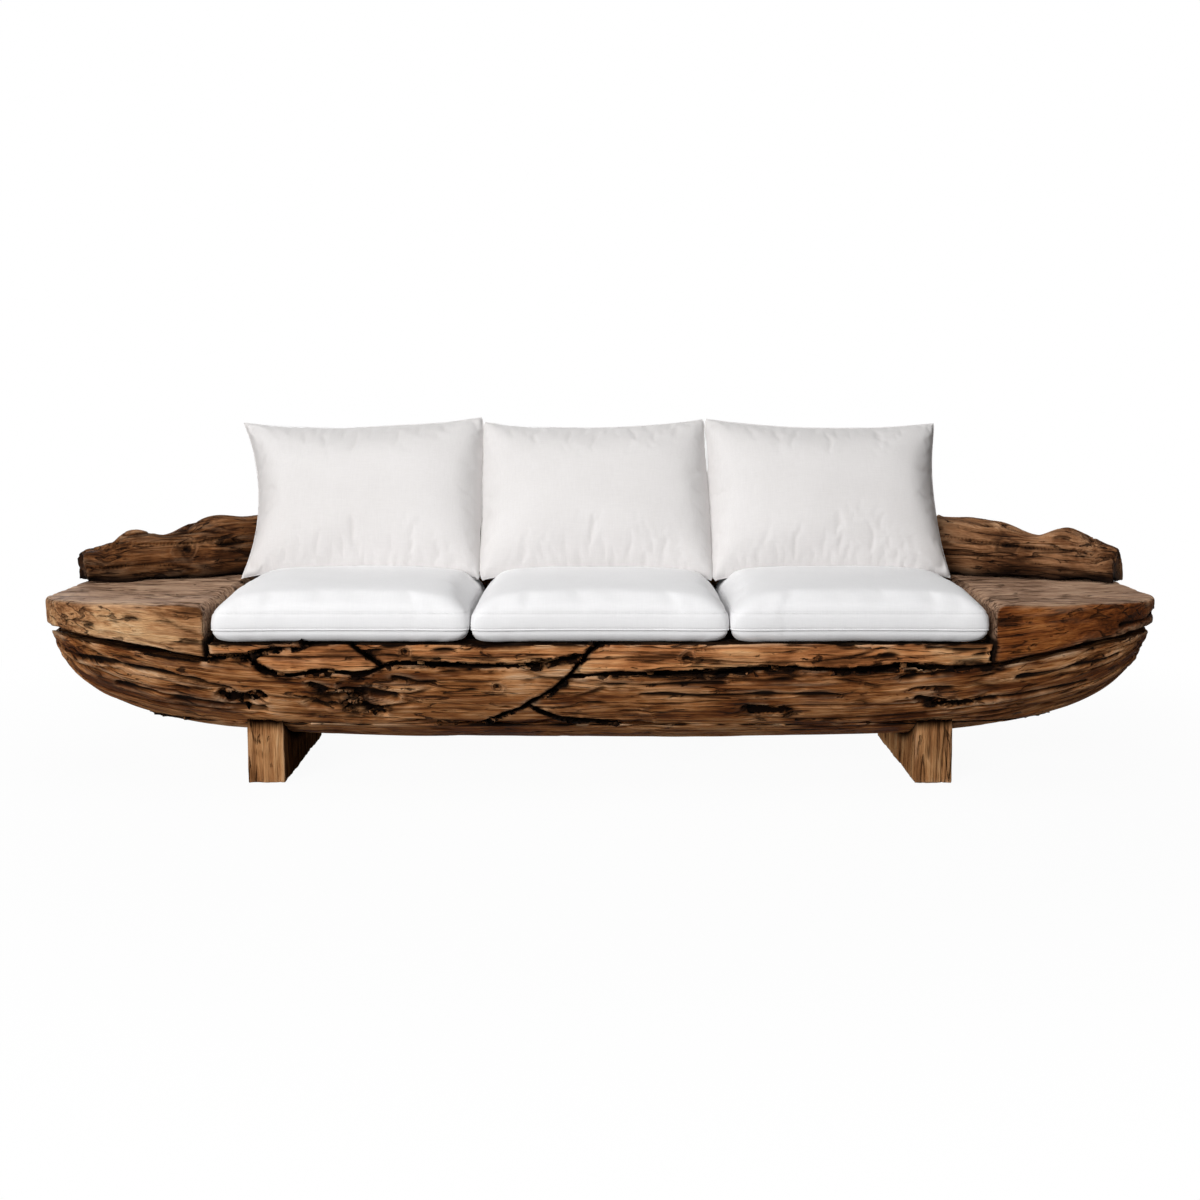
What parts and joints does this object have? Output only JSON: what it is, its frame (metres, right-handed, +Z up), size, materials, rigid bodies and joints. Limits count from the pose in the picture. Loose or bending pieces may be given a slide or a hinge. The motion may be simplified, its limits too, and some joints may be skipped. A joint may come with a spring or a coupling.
{
  "type": "boat-shaped sofa",
  "caption": "Long sofa of reclaimed teak shaped like a boat hull on cradle legs, with wedge deck slabs as side tables, driftwood back logs and loose white cushions.",
  "frame": {"origin": "on the floor, at the middle of the sofa's length and depth", "axes": "+X along the seat towards the right end as seen from the front, -Y to the front where a sitter's knees go, +Z up"},
  "size_m": [2.8074, 0.823, 0.9008],
  "materials": {
    "teak_belly": "satin",
    "teak_bottom": "matte",
    "teak_rail": "satin",
    "teak_deck": "satin",
    "teak_log": "matte",
    "teak_leg": "matte",
    "inner_wood": "matte",
    "dowel_wood": "matte",
    "zinc_steel": "satin",
    "seat_fabric": "matte",
    "back_fabric": "matte",
    "seat_foam": "matte",
    "back_filling": "matte"
  },
  "bodies": {
    "frame": {"back_log_centre": "teak_log", "back_log_left": "teak_log", "back_log_right": "teak_log", "bottom_plank_front": "teak_bottom", "bottom_plank_rear": "teak_bottom", "cradle_bolts": "zinc_steel", "cradle_washers": "zinc_steel", "deck_dowels": "dowel_wood", "front_belly_left": "teak_belly", "front_belly_right": "teak_belly", "front_leaf_patch": "teak_rail", "front_ledger": "inner_wood", "front_rail_middle": "teak_rail", "front_rail_right": "teak_rail", "front_rail_strip": "teak_rail", "front_wedge_patch": "teak_belly", "keel_plank": "teak_bottom", "ledger_screws": "zinc_steel", "left_bulkhead": "inner_wood", "left_cradle": "teak_leg", "left_deck_slab": "teak_deck", "log_dowels": "dowel_wood", "rail_dowels": "dowel_wood", "rear_belly_left": "teak_belly", "rear_belly_right": "teak_belly", "rear_ledger": "inner_wood", "rear_rail_left": "teak_rail", "rear_rail_right": "teak_rail", "rib_left": "inner_wood", "rib_middle": "inner_wood", "rib_right": "inner_wood", "right_bulkhead": "inner_wood", "right_cradle": "teak_leg", "right_deck_slab": "teak_deck", "seat_slat_1": "inner_wood", "seat_slat_2": "inner_wood", "seat_slat_3": "inner_wood", "seat_slat_4": "inner_wood", "seat_slat_5": "inner_wood", "seat_slat_6": "inner_wood", "seat_slat_7": "inner_wood", "seat_slat_8": "inner_wood", "seat_slat_9": "inner_wood", "slat_screws": "zinc_steel"},
    "seat_cushion_left": {"seat_cover_left": "seat_fabric", "seat_core_left": "seat_foam"},
    "back_cushion_left": {"back_cover_left": "back_fabric", "back_core_left": "back_filling"},
    "seat_cushion_middle": {"seat_cover_middle": "seat_fabric", "seat_core_middle": "seat_foam"},
    "back_cushion_middle": {"back_cover_middle": "back_fabric", "back_core_middle": "back_filling"},
    "seat_cushion_right": {"seat_cover_right": "seat_fabric", "seat_core_right": "seat_foam"},
    "back_cushion_right": {"back_cover_right": "back_fabric", "back_core_right": "back_filling"}
  },
  "joints": [
    {"name": "seat_lift_left", "type": "slide", "parent": "frame", "child": "seat_cushion_left", "axis": [0, 0, 1], "range_m": [0, 0.45]},
    {"name": "back_lift_left", "type": "slide", "parent": "seat_cushion_left", "child": "back_cushion_left", "axis": [0, 0, 1], "range_m": [0, 0.5]},
    {"name": "seat_lift_middle", "type": "slide", "parent": "frame", "child": "seat_cushion_middle", "axis": [0, 0, 1], "range_m": [0, 0.45]},
    {"name": "back_lift_middle", "type": "slide", "parent": "seat_cushion_middle", "child": "back_cushion_middle", "axis": [0, 0, 1], "range_m": [0, 0.5]},
    {"name": "seat_lift_right", "type": "slide", "parent": "frame", "child": "seat_cushion_right", "axis": [0, 0, 1], "range_m": [0, 0.45]},
    {"name": "back_lift_right", "type": "slide", "parent": "seat_cushion_right", "child": "back_cushion_right", "axis": [0, 0, 1], "range_m": [0, 0.5]}
  ]
}
